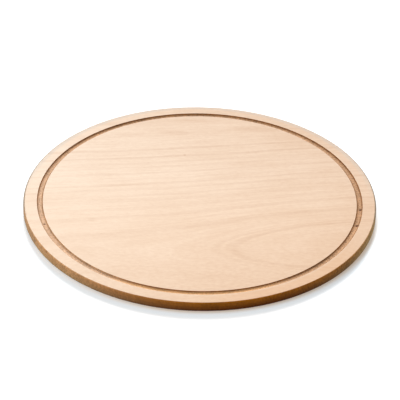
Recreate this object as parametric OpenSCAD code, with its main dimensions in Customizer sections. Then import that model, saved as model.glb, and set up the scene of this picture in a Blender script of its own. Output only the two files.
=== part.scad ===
// Round pizza serving board: seven beech plies glued into one sheet, turned to a disc,
// with a juice groove round the face.
// The origin is at the middle of the underside. +Z points up, out of the face.
// The grain of the face veneer runs along X, and the grain of the crossbands along Y.

/* [Board] */
// Diameter of the board
board_d = 320; // [280:1:360]
// Radius of the rounded edge between the face and the side
top_edge_r = 1.5; // [0.5:0.1:2]
// Radius of the rounded edge between the underside and the side
bottom_edge_r = 1.5; // [0.5:0.1:2]

/* [Plies] */
// Thickness of the face veneer and of the back veneer, as sanded
veneer_t = 0.95; // [0.9:0.05:1.3]
// Thickness of each of the five plies between the two veneers
ply_t = 1.3; // [1.2:0.05:1.6]
// Thickness of the cured glue between two plies
glue_t = 0.1; // [0.05:0.01:0.12]

/* [Juice groove] */
// Width of the flat rim, from the side of the board to the cut of the groove
rim_w = 12.4; // [9:0.1:16]
// Radius of the round-nosed cutter that makes the groove
nose_r = 3; // [2.6:0.1:4]
// Wood of the upper crossband that is left under the middle of the groove
groove_floor_t = 0.85; // [0.5:0.05:1]
// Radius that eases each lip of the groove
lip_r = 0.3; // [0.1:0.05:0.4]

/* [Hidden] */

// Five plies lie between the veneers. Counted up from the back veneer, which is ply 0,
// the top ply is the face veneer.
inner_plies = 5;
top_ply = inner_plies + 1;

board_r = board_d / 2;
board_t = 2 * veneer_t + inner_plies * ply_t + (inner_plies + 1) * glue_t;

// The groove goes through the face veneer and its glue, and ends in the upper crossband.
// The cutter's nose is turned about a point that lies nose_rise above the face.
groove_depth = veneer_t + glue_t + ply_t - groove_floor_t;
nose_rise = nose_r - groove_depth;
groove_half_w = sqrt(pow(nose_r, 2) - pow(max(0, nose_rise), 2));
groove_mid_r = board_r - rim_w - groove_half_w;

// An eased lip leaves the face at lip_reach from the middle of the groove,
// and meets the wall of the groove at the height lip_foot, below the face.
lip_reach = sqrt(pow(nose_r + lip_r, 2) - pow(max(0, nose_rise + lip_r), 2));
lip_foot = max(nose_rise, -lip_r) - nose_r * max(0, nose_rise + lip_r) / (nose_r + lip_r);

// How far a cutting shape runs past the surface that it cuts
overrun = 1;

round_steps = 240;
arc_steps = 48;

beech_face = "#F6D9BC";
beech_long = "#BE8F62";
beech_cross = "#AC7B50";
glue_brown = "#6B4526";

// Height of the underside of ply k
function ply_z(k) = k == 0 ? 0 : veneer_t + glue_t + (k - 1) * (ply_t + glue_t);

// Thickness of ply k
function thickness(k) = k == 0 || k == top_ply ? veneer_t : ply_t;

// What a rounded edge takes off a square corner at the origin, with the wood at -X and -Y
module edge_waste(r) {
    translate([-r, -r])
        difference() {
            square(r + overrun);
            circle(r, $fn = arc_steps);
        }
}

// The groove's cutter, a round nose on a straight shank, with the middle of the nose at the origin
module cutter() {
    circle(nose_r, $fn = arc_steps);
    translate([-nose_r, 0])
        square([2 * nose_r, groove_depth + overrun]);
}

// What easing takes off both lips, with the middle of the groove at X 0 and the face at Y 0
module lip_waste() {
    difference() {
        translate([-lip_reach, lip_foot])
            square([2 * lip_reach, -lip_foot]);
        for (side = [-1, 1])
            translate([side * lip_reach, -lip_r])
                circle(lip_r, $fn = arc_steps);
    }
}

// Half section of the whole board: X is the distance from its axis, Y the height
module board_section() {
    difference() {
        square([board_r, board_t]);
        translate([board_r, board_t])
            edge_waste(top_edge_r);
        translate([board_r, 0])
            mirror([0, 1])
                edge_waste(bottom_edge_r);
        translate([groove_mid_r, board_t + nose_rise])
            cutter();
        translate([groove_mid_r, board_t])
            lip_waste();
    }
}

// The part of the board between two heights and two radii
module layer(z, t, from_r = 0, to_r = board_r) {
    rotate_extrude($fn = round_steps)
        intersection() {
            board_section();
            translate([from_r, z])
                square([to_r - from_r, t]);
        }
}

// Ply k, whole
module ply(k) {
    layer(ply_z(k), thickness(k));
}

// The glue under ply k
module glue_line(k) {
    color(glue_brown)
        layer(ply_z(k) - glue_t, glue_t);
}

// The groove leaves a disc of the face veneer inside it and a ring outside it
module face_veneer_centre() {
    color(beech_face)
        layer(ply_z(top_ply), veneer_t, to_r = groove_mid_r);
}

module face_veneer_rim() {
    color(beech_face)
        layer(ply_z(top_ply), veneer_t, from_r = groove_mid_r);
}

// The floor of the groove lies in this ply
module upper_crossband() {
    color(beech_cross)
        ply(5);
}

module upper_long_ply() {
    color(beech_long)
        ply(4);
}

module middle_ply() {
    color(beech_cross)
        ply(3);
}

module lower_long_ply() {
    color(beech_long)
        ply(2);
}

module lower_crossband() {
    color(beech_cross)
        ply(1);
}

module back_veneer() {
    color(beech_face)
        ply(0);
}

face_veneer_centre();
face_veneer_rim();
upper_crossband();
upper_long_ply();
middle_ply();
lower_long_ply();
lower_crossband();
back_veneer();
glue_line(1);  // glue_line_1
glue_line(2);  // glue_line_2
glue_line(3);  // glue_line_3
glue_line(4);  // glue_line_4
glue_line(5);  // glue_line_5
glue_line(6);  // glue_line_6
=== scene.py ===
"""Dresses a round pizza serving board: seven beech plies, glued, turned and grooved.

Meshes are in metres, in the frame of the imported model. The figure of the wood and the tones of
its cuts are laid out in millimetres, because that is how a joiner measures them.
"""

import logging
import math
from collections.abc import Callable, Iterable, Mapping, Sequence
from dataclasses import dataclass, replace
from enum import Enum
from typing import Any, Union

import bmesh
import bpy
from mathutils import Matrix, Vector


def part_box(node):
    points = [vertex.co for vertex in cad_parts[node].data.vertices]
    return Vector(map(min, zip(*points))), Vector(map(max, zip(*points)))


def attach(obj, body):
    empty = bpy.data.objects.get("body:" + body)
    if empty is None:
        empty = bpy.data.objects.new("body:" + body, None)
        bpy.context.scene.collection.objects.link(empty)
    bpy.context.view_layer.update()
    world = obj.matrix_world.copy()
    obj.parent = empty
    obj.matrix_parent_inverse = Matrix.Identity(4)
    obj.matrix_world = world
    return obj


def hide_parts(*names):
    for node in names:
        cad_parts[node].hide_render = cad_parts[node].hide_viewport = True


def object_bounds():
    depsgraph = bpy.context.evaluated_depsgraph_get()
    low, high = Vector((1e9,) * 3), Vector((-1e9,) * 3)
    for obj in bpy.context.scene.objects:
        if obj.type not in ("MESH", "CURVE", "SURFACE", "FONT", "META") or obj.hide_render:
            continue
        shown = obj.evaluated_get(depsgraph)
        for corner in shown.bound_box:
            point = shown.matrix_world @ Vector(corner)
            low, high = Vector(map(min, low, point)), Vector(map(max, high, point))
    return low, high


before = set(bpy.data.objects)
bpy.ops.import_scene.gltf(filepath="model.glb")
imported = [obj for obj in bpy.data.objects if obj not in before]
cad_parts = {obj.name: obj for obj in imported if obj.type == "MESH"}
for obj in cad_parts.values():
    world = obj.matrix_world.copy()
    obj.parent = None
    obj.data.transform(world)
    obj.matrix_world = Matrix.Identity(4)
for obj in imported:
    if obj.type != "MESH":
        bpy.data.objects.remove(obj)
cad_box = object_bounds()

LOG = logging.getLogger("board")

MM = 0.001
BODY = "root"
UP = Vector((0.0, 0.0, 1.0))
WHITE = (1.0, 1.0, 1.0)

Point = tuple[float, float]
Fade = tuple[float, float]
Triple = tuple[float, float, float]
Colour = Triple
Tones = tuple[Colour, Colour]
Keyed = Mapping[str | int, Any]
Socket = bpy.types.NodeSocket
Object = bpy.types.Object
Material = bpy.types.Material


def linear(*screen: float) -> Colour:
    """Undoes the sRGB curve of a colour in parts of 255, for the shaders to work with."""
    shares = (part / 255 for part in screen)
    return tuple(s / 12.92 if s <= 0.04045 else ((s + 0.055) / 1.055) ** 2.4 for s in shares)


def along(start: float, end: float, steps: int) -> list[float]:
    """Gives the two ends and the numbers that cut the stretch between them into even steps."""
    return [start + (end - start) * i / steps for i in range(steps + 1)]


def between(low: float, high: float, wanted: Iterable[float]) -> list[float]:
    """Keeps the wanted numbers that lie between two others, and adds those two.

    Args:
        low: The smallest number that is given back.
        high: The largest number that is given back.
        wanted: The numbers to choose from.

    Returns:
        The numbers in rising order, none closer to the next than a thousandth of a millimetre.
    """
    close = 0.001 * MM
    kept = [low]
    for number in sorted(w for w in wanted if low + close < w < high - close):
        if number - kept[-1] > close:
            kept.append(number)
    return kept + [high]


def in_scene(name: str, data: bpy.types.ID) -> Object:
    """Makes an object of a mesh, a lamp or a camera, and puts it in the scene."""
    thing = bpy.data.objects.new(name, data)
    bpy.context.scene.collection.objects.link(thing)
    return thing


def operator(operation: str, reflected: bool = False) -> Callable[..., "Value"]:
    """Makes one of Python's operators add a Math node.

    Args:
        operation: The node's operation, such as ADD.
        reflected: Whether the other number comes first.

    Returns:
        The operator's method.
    """

    def method(value: "Value", *others: "Number") -> "Value":
        """Adds the node."""
        numbers = dict(enumerate((*others, value) if reflected else (value, *others)))
        return value.graph.value("ShaderNodeMath", {"operation": operation}, numbers)

    return method


class Value:
    """A number in a node tree. Python's operators on it add Math nodes."""

    __add__ = __radd__ = operator("ADD")
    __sub__ = operator("SUBTRACT")
    __rsub__ = operator("SUBTRACT", reflected=True)
    __mul__ = __rmul__ = operator("MULTIPLY")
    __truediv__ = operator("DIVIDE")
    __rtruediv__ = operator("DIVIDE", reflected=True)
    __pow__ = operator("POWER")
    __abs__ = operator("ABSOLUTE")

    def __init__(self, graph: "Graph", socket: Socket) -> None:
        """Wraps an output socket of a node in that graph."""
        self.graph = graph
        self.socket = socket

    def math(self, operation: str, *others: "Number") -> "Value":
        """Adds a Math node that starts from this number."""
        return operator(operation)(self, *others)

    def clamped(self) -> "Value":
        """Keeps the number from 0 to 1."""
        settings = {"operation": "ADD", "use_clamp": True}
        return self.graph.value("ShaderNodeMath", settings, {0: self, 1: 0.0})

    def rise(self, fade: Fade) -> "Value":
        """Goes smoothly from 0 at the fade's first number to 1 at its second, on either side."""
        given = {"Value": self, "From Min": fade[0], "From Max": fade[1]}
        return self.graph.value("ShaderNodeMapRange", {"interpolation_type": "SMOOTHSTEP"}, given)


Number = Union[Value, float]


class Graph:
    """A node tree that is being built, for a material, for the world or for a modifier."""

    def __init__(self, tree: bpy.types.NodeTree) -> None:
        """Starts from an empty tree."""
        self.tree = tree
        self.tree.nodes.clear()

    def add(
        self, kind: str, settings: Mapping[str, Any] | None = None, inputs: Keyed | None = None
    ) -> bpy.types.Node:
        """Adds a node, sets it, and then feeds its sockets.

        Args:
            kind: The node's type.
            settings: What is set on the node itself.
            inputs: A value, a socket or a Value for each input, by name or by number.

        Returns:
            The node.
        """
        node = self.tree.nodes.new(kind)
        for name, setting in (settings or {}).items():
            setattr(node, name, setting)
        for key, given in (inputs or {}).items():
            self._feed(self._input(node, key), given)
        return node

    def value(self, *given: Any, **named: Any) -> Value:
        """Adds a node as add does, and wraps its first output."""
        return Value(self, self.add(*given, **named).outputs[0])

    @staticmethod
    def _input(node: bpy.types.Node, key: str | int) -> Socket:
        """Finds an input in use by number or name, or by identifier where names repeat."""
        if isinstance(key, int):
            return node.inputs[key]
        return next(s for s in node.inputs if s.enabled and key in (s.name, s.identifier))

    def _feed(self, socket: Socket, given: Any) -> None:
        """Links an input, or sets a plain value on it.

        Args:
            socket: The input.
            given: What it gets: a socket, a Value or a plain value.
        """
        if isinstance(given, Value):
            given = given.socket
        if isinstance(given, Socket):
            self.tree.links.new(given, socket)
        elif socket.type == "RGBA" and len(given) == 3:
            socket.default_value = (*given, 1.0)
        else:
            socket.default_value = given

    def parts(self, vector: Socket) -> tuple[Value, Value, Value]:
        """Splits a vector into its three numbers."""
        x, y, z = self.add("ShaderNodeSeparateXYZ", inputs={0: vector}).outputs
        return Value(self, x), Value(self, y), Value(self, z)

    def vector(self, x: Number, y: Number, z: Number) -> Socket:
        """Joins three numbers into a vector."""
        return self.add("ShaderNodeCombineXYZ", inputs={0: x, 1: y, 2: z}).outputs[0]

    def seen(self) -> Value:
        """Gives 1 for what is looked at, directly or in a reflection, and 0 for thrown light."""
        path = self.add("ShaderNodeLightPath").outputs
        rays = ("Is Camera Ray", "Is Glossy Ray", "Is Transmission Ray")
        return sum(Value(self, path[ray]) for ray in rays).clamped()


class Paint(Graph):
    """The node tree of one material."""

    def __init__(self, name: str) -> None:
        """Makes an empty material with that name."""
        self.material = bpy.data.materials.new(name)
        self.material.use_nodes = True
        super().__init__(self.material.node_tree)

    def place(self) -> Socket:
        """Gives the point being shaded, in millimetres in the board's own frame."""
        return self.scaled(self.add("ShaderNodeTexCoord").outputs["Object"], 1 / MM)

    def scaled(self, vector: Socket, by: Number) -> Socket:
        """Multiplies a place, or a colour, which keeps its hue."""
        given = {0: vector, "Scale": by}
        return self.add("ShaderNodeVectorMath", {"operation": "SCALE"}, given).outputs[0]

    def divided(self, place: Socket, lengths: Triple) -> Socket:
        """Divides a place by a length along each axis."""
        given = {0: place, 1: lengths}
        return self.add("ShaderNodeVectorMath", {"operation": "DIVIDE"}, given).outputs[0]

    def turned(self, vector: Socket, angle: float, kind: str = "POINT") -> Socket:
        """Turns a vector, which is a POINT or a NORMAL, by an angle about the board's axis."""
        given = {"Vector": vector, "Rotation": (0.0, 0.0, angle)}
        return self.add("ShaderNodeMapping", {"vector_type": kind}, given).outputs[0]

    def blend(self, share: Number, first: Any, second: Any) -> Socket:
        """Mixes two colours.

        Args:
            share: How much of the second colour there is, from 0 to 1.
            first: The colour, or the socket that gives it, where the share is 0.
            second: The colour, or the socket that gives it, where the share is 1.

        Returns:
            The socket that gives the mixed colour.
        """
        given = {"Factor_Float": share, "A_Color": first, "B_Color": second}
        node = self.add("ShaderNodeMix", {"data_type": "RGBA"}, given)
        return next(s for s in node.outputs if s.identifier == "Result_Color")

    def finish(self, inputs: Keyed, bump: Value, relief: float) -> Material:
        """Adds the surface shader, with its relief, and the output.

        Args:
            inputs: What goes into the shader's sockets.
            bump: The height of the relief, from 0 to 1.
            relief: How deep the relief is, in millimetres.

        Returns:
            The finished material.
        """
        raised = self.add("ShaderNodeBump", inputs={"Distance": relief * MM, "Height": bump})
        sockets = {**inputs, "Normal": raised.outputs[0]}
        shader = self.add("ShaderNodeBsdfPrincipled", inputs=sockets)
        self.add("ShaderNodeOutputMaterial", inputs={"Surface": shader.outputs[0]})
        return self.material


@dataclass(frozen=True)
class Patches:
    """Soft noise, from 0 to 1 and mostly near its middle.

    Attributes:
        lengths: How long a patch is along X, Y and Z, in millimetres.
        seed: Which of the possible patterns this is.
        detail: How many finer octaves are added.
    """

    lengths: Triple
    seed: float = 0.0
    detail: float = 1.0

    MIDDLE = 0.5

    def on(self, paint: Paint, place: Socket, seed: float = 0.0) -> Value:
        """Adds the noise at a place in millimetres, with a seed that is added to its own."""
        stretched = {"Vector": paint.divided(place, self.lengths), "Scale": 1.0}
        given = {**stretched, "W": seed + self.seed, "Detail": self.detail}
        return paint.value("ShaderNodeTexNoise", {"noise_dimensions": "4D"}, given)

    def swing(self, paint: Paint, place: Socket, seed: float = 0.0) -> Value:
        """Adds the noise as on does, and gives how far it lies above its middle, or below."""
        return self.on(paint, place, seed) - self.MIDDLE


class Grain(Enum):
    """Which way the fibres of a ply run."""

    ALONG_X = 0.0
    ALONG_Y = -math.pi / 2


@dataclass(frozen=True)
class GrowthLine:
    """A dark line of late wood in the figure of a veneer, in millimetres.

    Attributes:
        at: Where it lies across the figure.
        strength: How dark it is, where 1 is a strong line and less than 0 a pale one.
        half_width: How far it reaches to each side.
    """

    at: float
    strength: float
    half_width: float = 3.0

    def shade(self, place: Value) -> Value:
        """Gives how dark the line is at a distance across the figure."""
        return abs(place - self.at).rise((self.half_width, 0.0)) * self.strength


@dataclass(frozen=True)
class Pin:
    """A dark fleck in the wood, where a fine twig was, or a longer patch of darker wood.

    Attributes:
        at: Its place on the board, in millimetres.
        radius: Half its width across the grain.
        strength: How dark it is, from 0 to 1.
        stretch: How many times longer than wide it is, along the grain.
        tilt: How far it rises for each millimetre along the board.
    """

    at: Point
    radius: float
    strength: float
    stretch: float = 1.0
    tilt: float = 0.0

    # The share of its radius over which it is as dark as it gets
    CORE = 0.3

    def shade(self, x: Value, y: Value) -> Value:
        """Works out how dark the fleck is.

        Args:
            x: A point's place along the grain.
            y: Its place across the grain.

        Returns:
            The darkness there, from 0 to the fleck's strength.
        """
        run = x - self.at[0]
        up = y - self.at[1] - run * self.tilt
        run = run / self.stretch
        gap = (run * run + up * up) ** 0.5
        return gap.rise((self.radius, self.radius * self.CORE)) * self.strength


@dataclass(frozen=True)
class Figure:
    """How growth lines lie on a flat-cut veneer: parabolas about a slanted centre line.

    Attributes:
        middle: Where the centre line crosses the board's middle, in millimetres.
        slope: How far the centre line rises for each millimetre along the board.
        heart: Half width of the plain wood about the centre line.
        taper: How fast the parabolas open along the board.
        sweep: How strongly the lines bend as they run along.
        bend: Length along the board of one radian of that bend.
        phase: The bend's angle at the board's middle, in radians.
        near_share: How much of the outer lines shows on the near side of the centre line.
        lines: The growth lines, from the centre line outwards.
        pins: Flecks and patches of darker wood.
    """

    middle: float
    slope: float
    heart: float
    taper: float
    sweep: float
    bend: float
    phase: float
    near_share: float
    lines: tuple[GrowthLine, ...]
    pins: tuple[Pin, ...]

    # The distances from the centre line between which the outer lines come out
    OUTER = (-12.0, 12.0)

    def off_centre(self, x: Value, y: Value) -> Value:
        """Gives how far a point lies beyond the centre line."""
        return y - self.middle - x * self.slope

    def across(self, x: Value, off: Value) -> Value:
        """Gives the distance across the figure, alike along each line, of a point off centre."""
        bent = (x / self.bend + self.phase).math("SINE") * self.sweep**2
        return (off * off + self.heart**2 - x * self.taper + bent).math("MAXIMUM", 0.0) ** 0.5

    def darkness(self, place: Value, off: Value) -> Value:
        """Adds up the growth lines at a point.

        Args:
            place: The point's distance across the figure.
            off: How far it lies beyond the centre line.

        Returns:
            How dark the lines are there, where 1 is a strong line.
        """
        share = off.rise(self.OUTER) * (1.0 - self.near_share) + self.near_share
        inner = sum(line.shade(place) for line in self.lines if line.at < self.heart)
        outer = sum(line.shade(place) for line in self.lines if line.at >= self.heart)
        return outer * share + inner

    def pinned(self, x: Value, y: Value) -> Number:
        """Adds up how dark the flecks and patches are at a point, from 0 to 1."""
        return sum(pin.shade(x, y) for pin in self.pins)


@dataclass(frozen=True)
class Spot:
    """The point that a material is shading, in millimetres.

    Attributes:
        paint: The material.
        place: The point.
        x: Its place along X.
        y: Its place along Y.
        out: How far it lies outside the board's side, less than 0 on the board.
        down: How far it lies below the board's face.
        right: The share of X in its direction from the board's axis, from -1 to 1.
        back: The share of Y in that direction.
        front: The same, the other way round.
    """

    paint: Paint
    place: Socket
    x: Value
    y: Value
    out: Value
    down: Value
    right: Value
    back: Value
    front: Value

    @classmethod
    def of(cls, paint: Paint, radius: float, face: float) -> "Spot":
        """Works out the spot that a material shades.

        Args:
            paint: The material.
            radius: Radius of the board, in millimetres.
            face: Height of its face, in millimetres.

        Returns:
            The spot.
        """
        place = paint.place()
        x, y, z = paint.parts(place)
        far = (x * x + y * y) ** 0.5
        return cls(paint, place, x, y, far - radius, face - z, x / far, y / far, y / far * -1.0)

    def toward(self, way: Point) -> Value:
        """Gives 1 where the spot lies that way from the axis, and -1 on the other side."""
        return self.right * way[0] + self.back * way[1]


@dataclass(frozen=True)
class Wash:
    """A tone that lies over others where it has faded in.

    Attributes:
        tone: The tone.
        share: How much of it there is where it has faded in whole.
        out: The distances outside the board's side between which it fades in, in millimetres.
        down: The distances below the face between which it does.
        right: The shares to the right between which it does.
        back: The shares to the back.
        front: The shares to the front.
    """

    tone: Colour
    share: float = 1.0
    out: Fade | None = None
    down: Fade | None = None
    right: Fade | None = None
    back: Fade | None = None
    front: Fade | None = None

    def over(self, spot: Spot, under: Any) -> Socket:
        """Lays the tone over another.

        Args:
            spot: The point.
            under: The colour under it, or the socket that gives that.

        Returns:
            The socket that gives the tone.
        """
        share: Number = self.share
        for name in ("out", "down", "right", "back", "front"):
            fade = getattr(self, name)
            if fade:
                share = getattr(spot, name).rise(fade) * share
        return spot.paint.blend(share, under, self.tone)


# A grey laid over the side and the rim: a painted reflection at the far left, and the arris's grey
REFLECTION_AND_ARRIS_GREY = linear(150, 128, 104)


@dataclass(frozen=True)
class CutTones:
    """The tones of the board's cut surfaces, which a cutter and a belt sander have gone over.

    The groove has two at each place, of its floor and of its walls. So has the side, just under
    the face and just above the underside. The side's tones round the board, and the groove's at
    the front, are painted light and shade: lit and shaded copies of the wood, put where light
    falls on it and where it does not.

    Attributes:
        darker_groove: The groove's darker tones, round most of the board.
        lighter_groove: The groove's lighter tones, at the front left.
        front_groove_shading: Painted light on the groove's floor and painted shade on its walls,
            at the front.
        left: The board's side at the left, painted lighter, as if light falls on it from the left.
        right: The board's side at the right, painted light and shade, lighter towards the bottom.
        front: The board's side at the front, painted dark as shade, and darker towards the bottom
            as painted shade near the floor.
        on_side: What lies over the side: a painted reflection of the white surroundings, greying
        the far left, brown at the back, and a grey on the arris where it looks away from the
        front.
        on_rim: What lies over the flat rim: a warm tone at the front right, toasted by the
            cutters on both sides, a dull one at the back, and the grey of the arris.
        scorched: Burnt specks, and the bottom of a knock.
        specks: The burnt specks in the groove.
        nick: A knock in the upper edge of the side.
        radius: Radius of the board, in millimetres.
        height: Height of the board, in millimetres.
    """

    darker_groove: Tones = (linear(201, 155, 115), linear(146, 90, 32))
    lighter_groove: Tones = (linear(221, 181, 146), linear(204, 154, 106))
    front_groove_shading: Tones = (linear(238, 185, 130), linear(130, 70, 4))
    left: Tones = (linear(226, 171, 118), linear(212, 170, 120))
    right: Tones = (linear(191, 151, 98), linear(240, 200, 134))
    front: Tones = (linear(172, 99, 4), linear(95, 38, 0))
    on_side: tuple[Wash, ...] = (
        # Painted reflection: the side greyed at the far left, where it is seen edge on
        Wash(REFLECTION_AND_ARRIS_GREY, 0.28, right=(-0.86, -0.95)),
        Wash(linear(200, 152, 106), back=(0.05, 0.5)),
        Wash(REFLECTION_AND_ARRIS_GREY, down=(1.6, 0.9), back=(-0.3, -0.05), front=(-0.7, -0.25)),
    )
    on_rim: tuple[Wash, ...] = (
        Wash(
            linear(230, 175, 124), 0.3, out=(-11.5, -9.5), right=(-0.25, 0.35), back=(-0.3, -0.7)
        ),
        Wash(linear(205, 200, 192), 0.4, out=(-6.5, -2.5), back=(-0.1, 0.6)),
        Wash(REFLECTION_AND_ARRIS_GREY, 0.75, out=(-1.9, -0.7), back=(-0.3, -0.05)),
    )
    scorched: Colour = linear(96, 54, 24)
    specks: tuple[Pin, ...] = (
        Pin((-138.4, -43.8), 1.7, 0.9),
        Pin((141.2, -36.1), 2.3, 1.0),
        Pin((145.2, -10.4), 2.2, 1.0),
    )
    nick: Pin = Pin((-133.6, -87.4), 1.7, 0.4)
    radius: float = 160.0
    height: float = 9.0

    # The ways from the axis to the side's deepest painted shade and to the groove's lightest
    # stretch
    SIDE_SHADE_WAY = (0.26, -0.966)
    LIGHTER_GROOVE_WAY = (-0.707, -0.707)

    # Fades round the board: of the side's painted light and shade, of the groove's lighter stretch
    # and of its painted light and shade at the front, and of how rough the cut is
    SIDE_TO_RIGHT = (-0.6, 0.8)
    SIDE_TO_FRONT = (0.4, 1.05)
    LIGHTER_GROOVE_ROUND = ((0.0, 0.9), (0.7, 1.0))
    FRONT_SHADING_ROUND = (-0.8, -0.97)
    ROUGH_RIGHT = (-0.5, 0.5)

    # Fades outwards and downwards, in millimetres, and from the groove's floor to its walls
    SIDE_OUT = (-6.0, -5.0)
    SIDE_TOP = 0.45
    NICK_DOWN = (2.4, 1.4)
    WALL_LEVEL = (0.9, 0.6)

    # The grain of a cut, and how strongly each part of it tells
    VESSELS = Patches((1.7, 1.7, 2.6), 4.0, 1.5)
    SCORCH = Patches((14.0, 14.0, 25.0), 5.0)
    TORN = Patches((2.6, 1.4, 3.0), 6.0)
    TORN_FADE = (0.52, 0.7)
    RIGHT_VESSELS = 0.4
    FRONT_SHADING_VESSELS = 0.5
    FRONT_SHADING_TORN = 0.7
    SCORCH_DEPTH = 0.6
    END_DEPTH = 0.08
    TORN_DEPTH = 0.28

    def side(self, spot: Spot) -> Socket:
        """Works out the tone of the board's side.

        Args:
            spot: The point.

        Returns:
            The socket that gives the tone.
        """
        blend = spot.paint.blend
        # The side's tones are painted light and shade: each goes from its upper to its lower tone
        # down the side, then they blend round the board
        low = spot.down.rise((self.SIDE_TOP, self.height))
        left, right, front = (blend(low, *tones) for tones in (self.left, self.right, self.front))
        side = blend(spot.right.rise(self.SIDE_TO_RIGHT), left, right)
        side = blend(spot.toward(self.SIDE_SHADE_WAY).rise(self.SIDE_TO_FRONT), side, front)
        for wash in self.on_side:
            side = wash.over(spot, side)
        return side

    def groove(self, spot: Spot, up: Value, front_groove_shading: Value) -> Socket:
        """Works out the tone of the groove.

        Args:
            spot: The point.
            up: How squarely the surface faces upwards, from 0 to 1.
            front_groove_shading: How much of the painted light and shade at the groove's front
                there is, from 0 to 1.

        Returns:
            The socket that gives the tone.
        """
        blend, way = spot.paint.blend, spot.toward(self.LIGHTER_GROOVE_WAY)
        stretches = zip(self.LIGHTER_GROOVE_ROUND, self.darker_groove, self.lighter_groove, self.front_groove_shading)
        # At the front, painted light on the floor and painted shade on the walls lie over both
        floor, wall = (
            blend(front_groove_shading, blend(way.rise(fade), darker_groove, lighter_groove), painted_front_tone)
            for fade, darker_groove, lighter_groove, painted_front_tone in stretches
        )
        return blend(up.rise(self.WALL_LEVEL), floor, wall)

    def tone(self, spot: Spot, up: Value, end: Value) -> Socket:
        """Works out the tone of a cut.

        Args:
            spot: The point.
            up: How squarely the surface faces upwards, from 0 to 1.
            end: How squarely the cut meets the fibres, from 0 to 1.

        Returns:
            The socket that gives the tone.
        """
        paint, place = spot.paint, spot.place
        # Painted light on the groove's floor and painted shade on its walls, at the front, where
        # the cut is also smoother
        front_groove_shading = spot.back.rise(self.FRONT_SHADING_ROUND)
        groove = self.groove(spot, up, front_groove_shading)
        cut = paint.blend(spot.out.rise(self.SIDE_OUT), groove, self.side(spot))
        rough = spot.right.rise(self.ROUGH_RIGHT) * self.RIGHT_VESSELS + 1.0
        vessels = self.VESSELS.swing(paint, place) * (rough - front_groove_shading * self.FRONT_SHADING_VESSELS)
        scorch = self.SCORCH.swing(paint, place) * self.SCORCH_DEPTH
        torn = self.TORN.on(paint, place).rise(self.TORN_FADE)
        torn = torn * (self.SIDE_OUT[1] - spot.out).clamped() * (1.0 - front_groove_shading * self.FRONT_SHADING_TORN)
        varied = 1.0 + vessels + scorch - end * self.END_DEPTH - torn * self.TORN_DEPTH
        nick = self.nick.shade(spot.x, spot.y) * spot.down.rise(self.NICK_DOWN)
        burnt = nick + sum(speck.shade(spot.x, spot.y) for speck in self.specks)
        return paint.blend(burnt.clamped(), paint.scaled(cut, varied), self.scorched)


@dataclass(frozen=True)
class FlatTones:
    """The tones of sanded wood.

    Attributes:
        light: The wood's paler tone; that it holds towards the left is painted light.
        deep: Its darker tone, which comes in at random, at both long edges, and towards the right
            as painted shade.
        ripe: What the wood leans towards at the front.
        late: Late wood, rays and pores.
    """

    light: Colour
    deep: Colour
    ripe: Colour
    late: Colour


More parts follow.
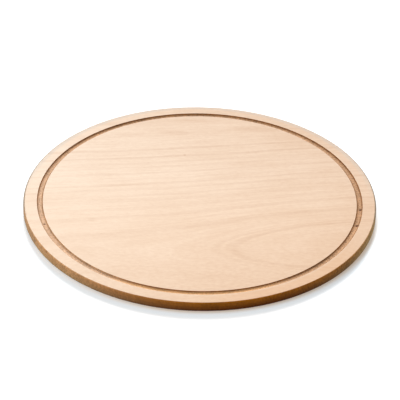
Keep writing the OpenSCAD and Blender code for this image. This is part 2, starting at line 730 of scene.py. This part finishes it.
@dataclass(frozen=True)
class Beech:
    """The finish of one cut of beech.

    Attributes:
        name: The material's name.
        grain: Which way the fibres run.
        tones: The tones of its flat faces.
        cut: The tones of the groove and of the board's side.
        figure: The growth lines on its flat faces.
        seed: Which of the possible grains this is.
    """

    name: str
    grain: Grain
    tones: FlatTones
    cut: CutTones
    figure: Figure
    seed: float

    # The grain of sanded wood
    SWAY = Patches((40.0, 14.0, 30.0), 0.0)
    STRENGTH = Patches((30.0, 9.0, 30.0), 1.0)
    FIBRES = Patches((26.0, 0.7, 0.7), 2.0, 2.0)
    CLOUDS = Patches((60.0, 22.0, 30.0), 3.0)
    STREAKS = Patches((50.0, 2.2, 30.0), 4.0, 1.5)
    MOTTLE = Patches((4.5, 2.2, 30.0), 5.0, 1.5)

    # Where the grain changes about the figure's centre line, in millimetres, and how strongly
    # each noise tells before it, with how much more beyond
    BEYOND = (-20.0, 30.0)
    STREAK_DEPTH = (0.2, 0.4)
    MOTTLE_DEPTH = (0.7, -0.2)
    CLOUD_DEPTH = (0.25, 0.2)

    # How far growth lines stray in millimetres, and how much darker they are at the right end
    STRAY = 3.0
    RINGS_RIGHT = 0.15

    # The deep tone's share at the middle, what comes to it at the right end as painted shade and
    # at both long edges, and the fade and share of the front's own tone
    DRIFT_MIDDLE = 0.43
    PAINTED_SHADE_RIGHT = 0.42
    DRIFT_EDGES = 0.32
    FRONT = (0.5, -0.4)
    RIPE_SHARE = 0.07

    # How strongly rings, rays and fibres darken the wood
    RING_DEPTH = 0.12
    RAY_DEPTH = 0.15
    FIBRE_DEPTH = 0.2

    # A ray's length, width and thickness in millimetres, and how its dash is cut from a cell
    RAY = (3.2, 0.75, 0.75)
    RAY_DASH = (0.42, 0.18)
    RAY_CHOICE = (0.3, 0.9)

    # How level a sanded face is, and how far it lies from half height, in millimetres
    LEVEL = (0.9, 0.99)
    SKIN = (4.4, 4.45)

    ROUGHNESS = 0.62
    FIBRE_ROUGHNESS = 0.1
    SHEEN = 0.1
    RAY_RELIEF = -0.5
    RELIEF = 0.02

    def material(self) -> Material:
        """Builds the material."""
        paint = Paint(self.name)
        spot = Spot.of(paint, self.cut.radius, self.cut.height)
        place = paint.turned(spot.place, self.grain.value)
        fibres = self.FIBRES.on(paint, place, self.seed)
        rays = self.rays(paint, place)
        flat = self.flat(spot, place, fibres, rays)
        for wash in self.cut.on_rim:
            flat = wash.over(spot, flat)
        normal = paint.add("ShaderNodeNewGeometry").outputs["Normal"]
        end, _, up = paint.parts(paint.turned(normal, self.grain.value, "NORMAL"))
        up = abs(up)
        sanded = up.rise(self.LEVEL) * abs(spot.down - self.cut.height / 2).rise(self.SKIN)
        inputs = {
            "Base Color": paint.blend(sanded, self.cut.tone(spot, up, end * end), flat),
            "Roughness": self.ROUGHNESS + fibres * self.FIBRE_ROUGHNESS,
            "Specular IOR Level": self.SHEEN,
        }
        return paint.finish(inputs, bump=fibres + rays * self.RAY_RELIEF, relief=self.RELIEF)

    def flat(self, spot: Spot, place: Socket, fibres: Value, rays: Value) -> Socket:
        """Works out the tone of the sanded wood.

        Args:
            spot: The point.
            place: The same point, in millimetres, with X along the fibres.
            fibres: The noise of the fibres, from 0 to 1.
            rays: How much of a ray there is, from 0 to 1.

        Returns:
            The socket that gives the tone.
        """
        paint = spot.paint
        x, y, z = paint.parts(place)
        off = self.figure.off_centre(x, y)
        across = self.figure.across(x, off) + self.SWAY.swing(paint, place, self.seed) * self.STRAY
        strength = self.STRENGTH.swing(paint, place, self.seed) + 1.0
        strength = strength * (x / self.cut.radius * self.RINGS_RIGHT + 1.0)
        rings = self.figure.darkness(across, off) * strength
        right, back = spot.x / self.cut.radius, spot.y / self.cut.radius
        # The deep tone comes in towards the right as painted shade, for light that falls from the
        # left
        share = right * self.PAINTED_SHADE_RIGHT + back * back * self.DRIFT_EDGES + self.DRIFT_MIDDLE
        for patches, point, (depth, more) in (
            (self.STREAKS, paint.vector(x, across, z), self.STREAK_DEPTH),
            (self.MOTTLE, place, self.MOTTLE_DEPTH),
            (self.CLOUDS, place, self.CLOUD_DEPTH),
        ):
            depth = off.rise(self.BEYOND) * more + depth
            share = share + patches.swing(paint, point, self.seed) * depth
        flat = paint.blend(share.clamped(), self.tones.light, self.tones.deep)
        flat = paint.blend(back.rise(self.FRONT) * self.RIPE_SHARE, flat, self.tones.ripe)
        dark = rings * self.RING_DEPTH + rays * self.RAY_DEPTH + self.figure.pinned(x, y)
        dark = dark + (fibres - Patches.MIDDLE) * self.FIBRE_DEPTH
        return paint.blend(dark.clamped(), flat, self.tones.late)

    def rays(self, paint: Paint, place: Socket) -> Value:
        """Adds the short dark dashes that rays make on flat-cut beech.

        Args:
            paint: The material.
            place: The point, in millimetres, with X along the fibres.

        Returns:
            How much of a ray there is at the point, from 0 to 1.
        """
        given = {"Vector": paint.divided(place, self.RAY), "W": self.seed, "Scale": 1.0}
        cell = paint.add("ShaderNodeTexVoronoi", {"voronoi_dimensions": "4D"}, given).outputs
        choice, _, _ = paint.parts(cell["Color"])
        return Value(paint, cell["Distance"]).rise(self.RAY_DASH) * choice.rise(self.RAY_CHOICE)


@dataclass(frozen=True)
class GlueFilm:
    """The finish of cured glue between two plies.

    Attributes:
        name: The material's name.
        resin: Tone of the glue.
        stained: Tone where wood dust has got into it.
    """

    name: str
    resin: Colour
    stained: Colour

    DUST = Patches((2.5, 2.5, 2.5), 11.0, 2.0)
    ROUGHNESS = 0.45
    DUST_ROUGHNESS = 0.2
    SHEEN = 0.3
    RELIEF = 0.01

    def material(self) -> Material:
        """Builds the material."""
        paint = Paint(self.name)
        dust = self.DUST.on(paint, paint.place())
        inputs = {
            "Base Color": paint.blend(dust, self.resin, self.stained),
            "Roughness": self.ROUGHNESS + dust * self.DUST_ROUGHNESS,
            "Specular IOR Level": self.SHEEN,
        }
        return paint.finish(inputs, bump=dust, relief=self.RELIEF)


@dataclass(frozen=True)
class BoardShape:
    """The sizes of the board, in metres, and the shape of its half section.

    Attributes:
        radius: Radius of the board.
        top: Height of the face.
        edge_r: Radius of the rounded edges at the face and at the underside.
        rim_w: Width of the rim, from the side to the cut of the groove.
        nose_r: Radius of the cutter that made the groove.
        groove_depth: Depth of the groove at its middle.
        lip_r: Radius that eases each lip of the groove.
    """

    radius: float
    top: float
    edge_r: float = 1.5 * MM
    rim_w: float = 12.4 * MM
    nose_r: float = 3.0 * MM
    groove_depth: float = 1.5 * MM
    lip_r: float = 0.3 * MM

    EDGE_STEPS = 10
    NOSE_STEPS = 14
    LIP_STEPS = 8

    @property
    def groove_floor(self) -> float:
        """Height of the lowest line of the groove."""
        return self.top - self.groove_depth

    @property
    def nose_z(self) -> float:
        """Height of the middle of the cutter's nose, which lies above the face."""
        return self.groove_floor + self.nose_r

    @property
    def groove_mid(self) -> float:
        """Radius at which the middle of the groove runs."""
        half_width = math.sqrt(self.nose_r**2 - (self.nose_z - self.top) ** 2)
        return self.radius - self.rim_w - half_width

    @property
    def lip_rise(self) -> float:
        """Height of the middle of the cutter's nose above that of a lip's rounding."""
        return self.nose_z - self.top + self.lip_r

    @property
    def lip_reach(self) -> float:
        """Distance from the middle of the groove to where a lip meets the face."""
        return math.sqrt((self.nose_r + self.lip_r) ** 2 - self.lip_rise**2)

    @property
    def lip_foot(self) -> float:
        """Height at which a lip meets the wall of the groove."""
        return self.nose_z - self.nose_r * self.lip_rise / (self.nose_r + self.lip_r)

    def side(self, z: float) -> float:
        """Gives the radius of the board's side at a height."""
        over = max(z - (self.top - self.edge_r), self.edge_r - z, 0.0)
        return self.radius - self.edge_r + math.sqrt(max(self.edge_r**2 - over**2, 0.0))

    def half_groove(self, z: float) -> float:
        """Works out how far the walls of the groove are from its middle.

        Args:
            z: The height at which the distance is taken.

        Returns:
            The distance.
        """
        if z <= self.lip_foot:
            return math.sqrt(max(self.nose_r**2 - (self.nose_z - z) ** 2, 0.0))
        over = z - (self.top - self.lip_r)
        return self.lip_reach - math.sqrt(max(self.lip_r**2 - over**2, 0.0))

    def side_heights(self, low: float, high: float) -> list[float]:
        """Lists the heights, from low to high, at which the side needs a point."""
        turns = [self.edge_r * (1 - math.cos(a)) for a in along(0, math.pi / 2, self.EDGE_STEPS)]
        return between(low, high, turns + [self.top - turn for turn in turns])

    def groove_heights(self, low: float, high: float) -> list[float]:
        """Lists the heights at which a wall of the groove needs a point.

        Args:
            low: The lowest of them.
            high: The highest of them.

        Returns:
            The heights, rising.
        """
        lip_z = self.top - self.lip_r
        drop = math.acos((self.nose_z - self.lip_foot) / self.nose_r)
        turn = math.asin(max(-1.0, (self.lip_foot - lip_z) / self.lip_r))
        nose = [self.nose_z - self.nose_r * math.cos(a) for a in along(0, drop, self.NOSE_STEPS)]
        lip = [lip_z + self.lip_r * math.sin(a) for a in along(turn, math.pi / 2, self.LIP_STEPS)]
        return between(low, high, nose + lip)


class Reach(Enum):
    """How much of the board's section a layer takes up."""

    WHOLE = "from the axis to the side"
    CENTRE = "from the axis to the groove"
    RIM = "from the groove to the side"


@dataclass(frozen=True)
class Layer:
    """One flat layer of the board, whose section is cut out of the board's.

    Attributes:
        shape: The board that it is cut from.
        low: Height of its underside.
        high: Height of its top.
        reach: Which part of the section it takes up.
    """

    shape: BoardShape
    low: float
    high: float
    reach: Reach = Reach.WHOLE

    # Radii of the rings of points on a level stretch, and how near its ends it is held flat
    RINGS = (0.0, 12 * MM, 40 * MM, 80 * MM, 120 * MM)
    HOLD = 0.2 * MM

    # How much the lips of the groove wander, and how much its walls do
    LIP_GIVE = 1.0
    WALL_GIVE = 0.3

    def level(self, z: float, start: float, end: float) -> list[Triple]:
        """Lists the points of a level stretch, without its ends.

        Args:
            z: Its height.
            start: The radius at which it starts.
            end: The radius at which it ends.

        Returns:
            The points, as section does.
        """
        low, high = min(start, end) + self.HOLD, max(start, end) - self.HOLD
        rings = {r for r in self.RINGS if low < r < high}
        middle = (start + end) / 2
        held = {r + math.copysign(self.HOLD, middle - r) for r in (start, end) if r > 0}
        return [(r, z, 0.0) for r in sorted(rings | held, reverse=start > end)]

    def wall(self, sign: int, low: float) -> list[Triple]:
        """Lists the points up a wall of the groove.

        Args:
            sign: 1 for the outer wall, -1 for the inner one.
            low: The height at which it starts.

        Returns:
            The points, as section does.
        """
        outline = []
        for z in self.shape.groove_heights(low, self.high):
            r = self.shape.groove_mid + sign * self.shape.half_groove(z)
            outline.append((r, z, self.LIP_GIVE if z > self.shape.lip_foot else self.WALL_GIVE))
        return outline

    def section(self) -> list[Triple]:
        """Lists the points round the layer's section, from the axis or groove outwards.

        Returns:
            For each point its radius, its height and how much it may wander, from 0 to 1.
        """
        shape, low, high = self.shape, self.low, self.high
        floor = max(low, shape.groove_floor)
        grooved = high > shape.groove_floor
        lip = shape.half_groove(high) if grooved else 0.0
        inner_top = self.level(high, shape.groove_mid - lip, 0.0)
        if self.reach is Reach.CENTRE:
            foot = shape.groove_mid - shape.half_groove(floor)
            outline = self.level(low, 0.0, foot) + self.wall(-1, low) + inner_top
        else:
            foot = shape.groove_mid + shape.half_groove(floor) if self.reach is Reach.RIM else 0.0
            end = shape.groove_mid + lip if grooved else 0.0
            outline = self.level(low, foot, shape.side(low))
            outline += [(shape.side(z), z, 0.0) for z in shape.side_heights(low, high)]
            outline += self.level(high, shape.side(high), end)
            if grooved:
                outline += reversed(self.wall(1, floor))
            if grooved and self.reach is Reach.WHOLE:
                outline = outline[:-1] + self.wall(-1, floor) + inner_top
        if self.reach is Reach.RIM:
            return outline
        return [(0.0, low, 0.0), *outline, (0.0, high, 0.0)]


class Turning:
    """Turns sections round the board's axis, as a lathe would, with lips that wander a little."""

    GIVE = "give"
    DETAIL = 2.0
    MERGE = 0.0001 * MM
    SHARP = math.radians(32)

    # The modifier's inputs besides the section and the finish, with their kinds and values
    SETTINGS = {
        "Steps": ("Int", 900),
        "Wander": ("Float", 0.05 * MM),
        "Patch": ("Float", 3.0 * MM),
        "Seed": ("Float", 2.0),
    }

    def __init__(self) -> None:
        """Builds the modifier's node tree once, for every layer."""
        self.tree = bpy.data.node_groups.new("turning", "GeometryNodeTree")
        kinds = {name: kind for name, (kind, _) in self.SETTINGS.items()}
        kinds = {"Section": "Geometry", **kinds, "Finish": "Material", "Layer": "Geometry"}
        for name, kind in kinds.items():
            way = "OUTPUT" if name == "Layer" else "INPUT"
            self.tree.interface.new_socket(name, in_out=way, socket_type=f"NodeSocket{kind}")
        self._build(Graph(self.tree))

    def _build(self, graph: Graph) -> None:
        """Fills the tree: a grid whose rows follow the section and whose columns go round.

        Args:
            graph: The tree.
        """
        given = graph.add("NodeGroupInput").outputs
        section = given["Section"]
        steps = Value(graph, given["Steps"])
        count = graph.value("GeometryNodeAttributeDomainSize", inputs={"Geometry": section})
        size = {"Vertices X": count + 1.0, "Vertices Y": steps + 1.0}
        geometry = graph.add("GeometryNodeMeshGrid", inputs=size).outputs["Mesh"]
        index = graph.value("GeometryNodeInputIndex")
        row = (index / (steps + 1.0)).math("FLOOR")
        column = index - row * (steps + 1.0)
        which = row.math("MODULO", count)

        def sampled(kind: str, read: bpy.types.Node) -> Value:
            """Reads a value of that kind at the row's point of the section."""
            inputs = {"Geometry": section, "Value": read.outputs[0], "Index": which}
            settings = {"data_type": kind, "domain": "POINT"}
            return graph.value("GeometryNodeSampleIndex", settings, inputs)

        point = sampled("FLOAT_VECTOR", graph.add("GeometryNodeInputPosition"))
        named = {"Name": self.GIVE}
        reader = graph.add("GeometryNodeInputNamedAttribute", {"data_type": "FLOAT"}, named)
        give = sampled("FLOAT", reader)
        radius, _, height = graph.parts(point.socket)
        turn = column.math("MODULO", steps) * math.tau / steps
        cosine, sine = turn.math("COSINE"), turn.math("SINE")
        spot = graph.vector(radius * cosine, radius * sine, height)
        wanted = {"Vector": spot, "W": given["Seed"], "Detail": self.DETAIL}
        wanted["Scale"] = 1.0 / Value(graph, given["Patch"])
        noise = graph.value("ShaderNodeTexNoise", {"noise_dimensions": "4D"}, wanted)
        moved = radius + (noise - Patches.MIDDLE) * give * Value(graph, given["Wander"])
        position = graph.vector(moved * cosine, moved * sine, height)
        for kind, further in (
            ("GeometryNodeSetPosition", {"Position": position}),
            ("GeometryNodeMergeByDistance", {"Distance": self.MERGE}),
            ("GeometryNodeRealizeInstances", {}),
            ("GeometryNodeSetMaterial", {"Material": given["Finish"]}),
        ):
            geometry = graph.add(kind, inputs={"Geometry": geometry, **further}).outputs[0]
        graph.add("NodeGroupOutput", inputs={0: geometry})

    def turn(self, name: str, layers: Sequence[Layer], finish: Material) -> Object:
        """Turns the sections of one or more layers into one closed piece.

        Args:
            name: The piece's name.
            layers: The layers that make up the piece.
            finish: The material of the piece.

        Returns:
            The piece, as a plain mesh at the origin.
        """
        settings = {name: value for name, (_, value) in self.SETTINGS.items()}
        settings["Finish"] = finish
        whole = bmesh.new()
        for layer in layers:
            outline = layer.section()
            mesh = bpy.data.meshes.new(name)
            mesh.from_pydata([(r, 0.0, z) for r, z, _ in outline], [], [])
            give = mesh.attributes.new(self.GIVE, "FLOAT", "POINT")
            give.data.foreach_set("value", [g for _, _, g in outline])
            section = in_scene("section", mesh)
            modifier = section.modifiers.new("turning", "NODES")
            modifier.node_group = self.tree
            for socket in self.tree.interface.items_tree:
                if socket.name in settings:
                    modifier[socket.identifier] = settings[socket.name]
            graph = bpy.context.evaluated_depsgraph_get()
            turned = bpy.data.meshes.new_from_object(section.evaluated_get(graph))
            bpy.data.objects.remove(section)
            whole.from_mesh(turned)
        whole.to_mesh(turned)
        whole.free()
        turned.name = name
        turned.shade_smooth()
        turned.set_sharp_from_angle(angle=self.SHARP)
        return in_scene(name, turned)


@dataclass(frozen=True)
class Ply:
    """A layer of the board as a piece of the scene, in place of its node in the frame.

    Attributes:
        node: The node that it stands for.
        name: The piece's name.
        slot: The record's material slot.
        reaches: The parts of the section that it takes up.
    """

    node: str
    name: str
    slot: str
    reaches: tuple[Reach, ...] = (Reach.WHOLE,)

    def build(self, shape: BoardShape, turning: Turning, finish: Material) -> Object:
        """Builds the piece and puts it in its node's place.

        Args:
            shape: The board's sizes.
            turning: What turns its section.
            finish: The material.

        Returns:
            The piece.
        """
        low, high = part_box(self.node)
        layers = [Layer(shape, low.z, high.z, reach) for reach in self.reaches]
        piece = turning.turn(self.name, layers, finish)
        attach(piece, BODY)
        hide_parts(self.node)
        LOG.info("%s: %d faces, stands for %s", self.name, len(piece.data.polygons), self.node)
        return piece


FACE_FIGURE = Figure(
    middle=-80.8,
    slope=0.096,
    heart=33.3,
    taper=10.3,
    sweep=17.0,
    bend=40.0,
    phase=2.29,
    near_share=0.35,
    lines=(
        GrowthLine(28.8, 1.2, 3.0),
        GrowthLine(32.8, 0.7, 2.0),
        GrowthLine(53.0, 0.9, 6.0),
        GrowthLine(62.5, -0.5, 7.0),
        GrowthLine(71.0, 0.85, 4.0),
        GrowthLine(82.5, 0.4),
        GrowthLine(92.5, 0.7, 4.0),
        GrowthLine(99.5, 0.7),
        GrowthLine(109.0, 0.9, 2.6),
        GrowthLine(117.0, 1.1, 2.6),
        GrowthLine(124.5, 0.6, 2.2),
        GrowthLine(134.0, 1.0, 2.6),
        GrowthLine(143.0, 0.6, 2.6),
        GrowthLine(150.0, 0.6, 2.6),
        GrowthLine(159.5, 1.6, 2.6),
        GrowthLine(172.3, 1.6, 2.6),
        GrowthLine(180.5, 0.3),
        GrowthLine(199.0, 0.4, 8.0),
        GrowthLine(220.0, 0.6, 6.0),
    ),
    pins=(
        Pin((-15.0, 73.3), 1.8, 0.3),
        Pin((-96.5, -36.7), 4.5, 0.1),
        Pin((-26.7, -89.7), 1.8, 0.12),
        Pin((-25.0, 112.0), 5.5, 0.15, stretch=4.0),
        Pin((52.0, 121.0), 8.0, 0.11, stretch=4.0, tilt=-0.08),
        Pin((-68.0, 107.0), 6.5, 0.07, stretch=3.0),
        Pin((-6.0, 133.0), 4.5, 0.09, stretch=7.0),
        Pin((102.0, -79.0), 7.0, 0.06, stretch=1.6),
        Pin((-52.0, -107.5), 2.2, 0.07, stretch=16.0),
        Pin((-5.0, -125.0), 3.0, 0.05, stretch=13.0, tilt=0.28),
    ),
)

BACK_FIGURE = replace(FACE_FIGURE, middle=46.0, slope=-0.05, near_share=0.6, pins=())

PALE_FACE = FlatTones(
    light=linear(254, 231, 208),
    deep=linear(229, 196, 167),
    ripe=linear(243, 171, 84),
    late=linear(196, 146, 104),
)

CORE = FlatTones(
    light=linear(214, 170, 130),
    deep=linear(206, 160, 120),
    ripe=linear(200, 150, 108),
    late=linear(120, 76, 40),
)


@dataclass(frozen=True)
class Board:
    """The whole board: two veneers, five plies between them, and six films of glue.

    Attributes:
        shape: The board's sizes.
    """

    shape: BoardShape

    @classmethod
    def from_frame(cls) -> "Board":
        """Reads the board's size from the frame."""
        _, high = cad_box
        return cls(BoardShape(radius=max(high.x, high.y), top=high.z))

    def finishes(self) -> dict[str, Material]:
        """Builds the materials.

        Returns:
            Each by the slot that it goes into, or by its node where that node has its own.
        """
        cut = CutTones(height=self.shape.top / MM)
        along_x, along_y = Grain.ALONG_X, Grain.ALONG_Y
        made = {
            "face_veneer": Beech("beech_face", along_x, PALE_FACE, cut, FACE_FIGURE, seed=3.0),
            "back_veneer": Beech("beech_back", along_x, PALE_FACE, cut, BACK_FIGURE, seed=9.0),
            "crossband": Beech("beech_crossband", along_y, CORE, cut, FACE_FIGURE, seed=5.0),
            "long_ply": Beech("beech_long_ply", along_x, CORE, cut, FACE_FIGURE, seed=7.0),
            "glue": GlueFilm("glue", linear(92, 58, 32), linear(140, 98, 62)),
        }
        return {key: finish.material() for key, finish in made.items()}

    @staticmethod
    def plies() -> list[Ply]:
        """Lists the layers from the face down, with a film of glue over each further ply.

        Returns:
            The layers.
        """
        listed = [
            Ply("face_veneer_centre", "veneer_centre", "face_veneer", (Reach.CENTRE,)),
            Ply("face_veneer_rim", "veneer_rim", "face_veneer", (Reach.RIM,)),
        ]
        further = [
            Ply("upper_crossband", "crossband_upper", "crossband"),
            Ply("upper_long_ply", "long_ply_upper", "long_ply"),
            Ply("middle_ply", "ply_middle", "crossband"),
            Ply("lower_long_ply", "long_ply_lower", "long_ply"),
            Ply("lower_crossband", "crossband_lower", "crossband"),
            Ply("back_veneer", "veneer_back", "face_veneer"),
        ]
        reaches = (Reach.CENTRE, Reach.RIM)
        for number, ply in zip(range(len(further), 0, -1), further):
            listed += [Ply(f"glue_line_{number}", f"glue_film_{number}", "glue", reaches), ply]
            reaches = (Reach.WHOLE,)
        return listed

    def build(self) -> list[Object]:
        """Builds every layer, from the face down.

        Returns:
            The pieces.
        """
        turning = Turning()
        finishes = self.finishes()
        return [
            ply.build(self.shape, turning, finishes.get(ply.node, finishes[ply.slot]))
            for ply in self.plies()
        ]


@dataclass(frozen=True)
class Lamp:
    """A distant lamp that shines on the board.

    Attributes:
        name: The lamp's name.
        azimuth: Its direction from the board, in degrees from X towards Y.
        height: How far above the level it stands, in degrees.
        spread: How wide it looks from the board, in degrees.
        share: How much it adds to the light on the board's face, where 1 is all of it.
    """

    name: str
    azimuth: float
    height: float
    spread: float
    share: float

    def build(self) -> None:
        """Adds the lamp to the scene."""
        azimuth, height = math.radians(self.azimuth), math.radians(self.height)
        data = bpy.data.lights.new(self.name, "SUN")
        data.angle = math.radians(self.spread)
        data.energy = self.share * math.pi / math.sin(height)
        flat = math.cos(height)
        lamp = in_scene(self.name, data)
        lamp.location = (flat * math.cos(azimuth), flat * math.sin(azimuth), math.sin(height))
        lamp.rotation_mode = "QUATERNION"
        lamp.rotation_quaternion = lamp.location.to_track_quat("Z", "Y")


@dataclass(frozen=True)
class Studio:
    """The floor, the lamps and the camera.

    Attributes:
        radius: Radius of the board, in metres.
        face: Height of the board's face, in metres.
        elevation: How far above the level the camera looks down from, in degrees.
        distance: How far away the camera is, in radii of the board.
        aim: The point of the face that the camera looks at, in radii of the board.
        roll: How far the camera is tipped about its own axis, in degrees.
        lens: Focal length for the sensor's width, in millimetres.
        fill: The world's strength as a light, where 1 is how bright it looks.
        card: The floor's tone, as it throws light back at the board.
        cool: A painted shadow: the floor's cool tint beside the board, in its shadow.
        warm: A painted shadow close to the board: a darker, warm tint, as if the board throws
            some of its own colour there.
        lamps: The lamps.
    """

    radius: float
    face: float
    elevation: float = 33.735
    distance: float = 13.83
    aim: Point = (0.0009, -0.01)
    roll: float = 1.235
    lens: float = 219.4
    fill: float = 0.35
    card: Colour = (0.5, 0.5, 0.5)
    cool: Wash = Wash((0.9, 0.95, 0.98), out=(12.0, 6.0))
    warm: Colour = (0.8, 0.7, 0.6)
    lamps: tuple[Lamp, ...] = (
        Lamp("key", 91.0, 32.0, 18.0, 0.5),
        Lamp("left_fill", 200.0, 30.0, 60.0, 0.16),
    )

    # The sensor's width in millimetres, and how near and how far the camera sees in metres
    SENSOR = 36.0
    CLIP = (0.1, 30.0)

    # Half the floor's width and its height, in metres
    FLOOR_HALF = 3.0
    FLOOR_Z = -0.02 * MM

    # Fades of the warm painted shadow and of the painted light that lifts the shadow: outwards
    # from the side, in millimetres, and round the board
    WARM_OUT = (5.0, 0.0)
    WARM_RIGHT = (-1.0, -0.1)
    WARM_FRONT = (0.1, -0.4)
    LIFT_OUT = (1.5, 4.5)
    LIFT_RIGHT = (0.8, 0.97)

    # The warm painted shadow's share at the left end, the floor's glow, and the painted light that
    # lifts the shadow at the right end
    WARM_LEFT = 0.1
    GLOW = 0.36
    LIFT = 0.12

    def camera(self) -> None:
        """Sets up the camera where the photograph was taken from."""
        tilt = math.radians(self.elevation)
        back = Vector((0.0, -math.cos(tilt), math.sin(tilt))) * self.distance * self.radius
        spot = back + UP * self.face
        target = Vector((self.aim[0] * self.radius, self.aim[1] * self.radius, self.face))
        forward = (target - spot).normalized()
        level = forward.cross(UP).normalized()
        right = Matrix.Rotation(math.radians(self.roll), 3, -forward) @ level
        axes = Matrix((right, right.cross(forward), -forward)).transposed().to_4x4()
        data = bpy.data.cameras.new("camera")
        data.lens, data.sensor_width = self.lens, self.SENSOR
        data.clip_start, data.clip_end = self.CLIP
        camera = in_scene("camera", data)
        camera.matrix_world = Matrix.Translation(spot) @ axes
        bpy.context.scene.camera = camera

    def surroundings(self) -> None:
        """Sets an even fill light, which the camera and reflections see as white."""
        world = bpy.data.worlds.new("surroundings")
        bpy.context.scene.world = world
        world.use_nodes = True
        graph = Graph(world.node_tree)
        light = {"Color": WHITE, "Strength": graph.seen() * (1.0 - self.fill) + self.fill}
        background = graph.add("ShaderNodeBackground", inputs=light)
        graph.add("ShaderNodeOutputWorld", inputs={"Surface": background.outputs[0]})

    def floor_material(self) -> Material:
        """Builds the floor's material, which looks white apart from the board's shadow."""
        paint = Paint("floor")
        seen = paint.seen()
        spot = Spot.of(paint, self.radius / MM, self.face / MM)
        # Painted shadow: a cool tint beside the board and a darker, warm one close to it
        tint = self.cool.over(spot, WHITE)
        share = spot.right.rise(self.WARM_RIGHT) * (1.0 - self.WARM_LEFT) + self.WARM_LEFT
        share = share * spot.back.rise(self.WARM_FRONT)
        tint = paint.blend(spot.out.rise(self.WARM_OUT) * share, tint, self.warm)
        # Painted light: lifts the floor's shadow at the right end
        lift = spot.out.rise(self.LIFT_OUT) * spot.right.rise(self.LIFT_RIGHT) * self.LIFT
        card = {"Color": paint.blend(seen, self.card, tint)}
        glow = {"Color": tint, "Strength": seen * (lift + self.GLOW)}
        thrown = paint.add("ShaderNodeBsdfDiffuse", inputs=card).outputs[0]
        shown = paint.add("ShaderNodeEmission", inputs=glow).outputs[0]
        both = paint.add("ShaderNodeAddShader", inputs={0: thrown, 1: shown})
        paint.add("ShaderNodeOutputMaterial", inputs={"Surface": both.outputs[0]})
        return paint.material

    def floor(self) -> None:
        """Lays a floor under the board."""
        half = self.FLOOR_HALF
        corners = ((-half, -half), (half, -half), (half, half), (-half, half))
        mesh = bpy.data.meshes.new("floor")
        mesh.from_pydata([(x, y, self.FLOOR_Z) for x, y in corners], [], [(0, 1, 2, 3)])
        mesh.materials.append(self.floor_material())
        in_scene("floor", mesh)

    def build(self) -> None:
        """Sets up the whole studio."""
        self.camera()
        self.surroundings()
        self.floor()
        for lamp in self.lamps:
            lamp.build()
        bpy.context.scene.view_settings.view_transform = "Standard"
        LOG.info("studio: camera, floor and %d lamps", len(self.lamps))


def main() -> None:
    """Reads the board's size from the frame, lights it and builds it."""
    logging.basicConfig(level=logging.INFO, format="%(name)s: %(message)s")
    board = Board.from_frame()
    Studio(radius=board.shape.radius, face=board.shape.top).build()
    board.build()


if __name__ == "__main__":
    main()
